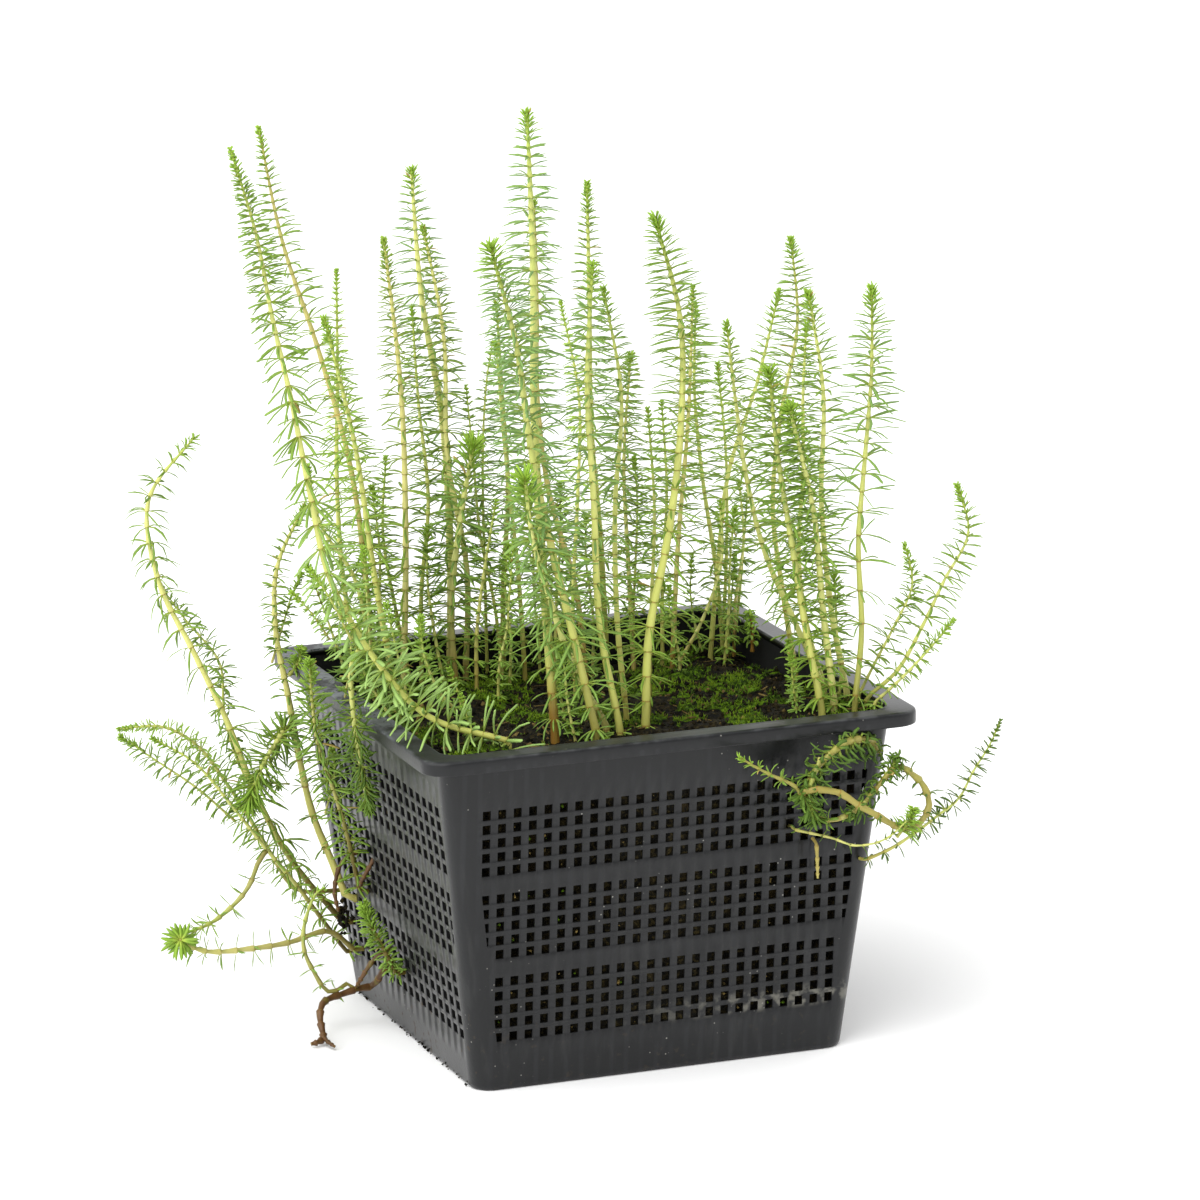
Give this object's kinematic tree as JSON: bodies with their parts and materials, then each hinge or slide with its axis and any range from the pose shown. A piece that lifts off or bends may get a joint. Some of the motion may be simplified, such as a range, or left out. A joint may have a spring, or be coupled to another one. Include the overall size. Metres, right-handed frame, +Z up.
{
  "type": "mares tail in pond basket",
  "caption": "Clump of whorled marsh plant shoots growing from peat in a square perforated pond basket, with shoots and roots trailing through its walls.",
  "frame": {"origin": "centre of the basket's underside", "axes": "+Z up, -Y out of the basket's front face, +X towards the front face's right side; the long trailing shoots leave the left wall, -X"},
  "size_m": [0.2993, 0.2106, 0.3534],
  "materials": {
    "basket": "moulded black polypropylene, semi-matte, scuffed, with dried dirt low down",
    "peat": "wet dark peat with crumbs, roots and bright moss patches",
    "green_leaf": "yellow-green jointed stems with mid-green narrow leaves, fresh green at the tips",
    "pale_leaf": "pale bluish-green leaves on yellow-green stems",
    "brown_leaf": "browning stems with dull green leaves",
    "olive_stem": "olive and tan creeping stems with short curled leaves",
    "root": "reddish-brown root with dark ends"
  },
  "bodies": {
    "root": {"basket": "basket", "knot_loop": "olive_stem", "knot_shoot_1": "olive_stem", "knot_shoot_2": "green_leaf", "knot_shoot_3": "green_leaf", "knot_shoot_4": "olive_stem", "knot_stub": "olive_stem", "root_shoot": "green_leaf", "shoot_01": "green_leaf", "shoot_02": "green_leaf", "shoot_03": "green_leaf", "shoot_04": "green_leaf", "shoot_05": "green_leaf", "shoot_06": "brown_leaf", "shoot_07": "green_leaf", "shoot_08": "green_leaf", "shoot_09": "brown_leaf", "shoot_10": "green_leaf", "shoot_11": "green_leaf", "shoot_12": "green_leaf", "shoot_13": "green_leaf", "shoot_14": "green_leaf", "shoot_15": "brown_leaf", "shoot_16": "green_leaf", "shoot_17": "green_leaf", "shoot_18": "green_leaf", "shoot_19": "green_leaf", "shoot_20": "green_leaf", "shoot_21": "green_leaf", "shoot_22": "brown_leaf", "shoot_23": "green_leaf", "shoot_24": "green_leaf", "shoot_25": "brown_leaf", "shoot_26": "green_leaf", "shoot_27": "green_leaf", "shoot_28": "pale_leaf", "shoot_29": "green_leaf", "shoot_30": "green_leaf", "shoot_31": "green_leaf", "shoot_32": "green_leaf", "shoot_33": "green_leaf", "shoot_34": "green_leaf", "shoot_35": "green_leaf", "shoot_36": "green_leaf", "shoot_37": "green_leaf", "shoot_38": "green_leaf", "shoot_39": "green_leaf", "shoot_40": "green_leaf", "shoot_bent": "pale_leaf", "shoot_over_rim": "green_leaf", "soil": "peat", "trailing_shoot_1": "green_leaf", "trailing_shoot_2": "green_leaf", "trailing_shoot_3": "green_leaf", "trailing_shoot_4": "green_leaf", "trailing_shoot_4_branch": "green_leaf", "trailing_shoot_5": "pale_leaf", "trailing_shoot_6": "green_leaf", "trailing_shoot_7": "green_leaf", "wall_root": "root"}
  },
  "joints": []
}
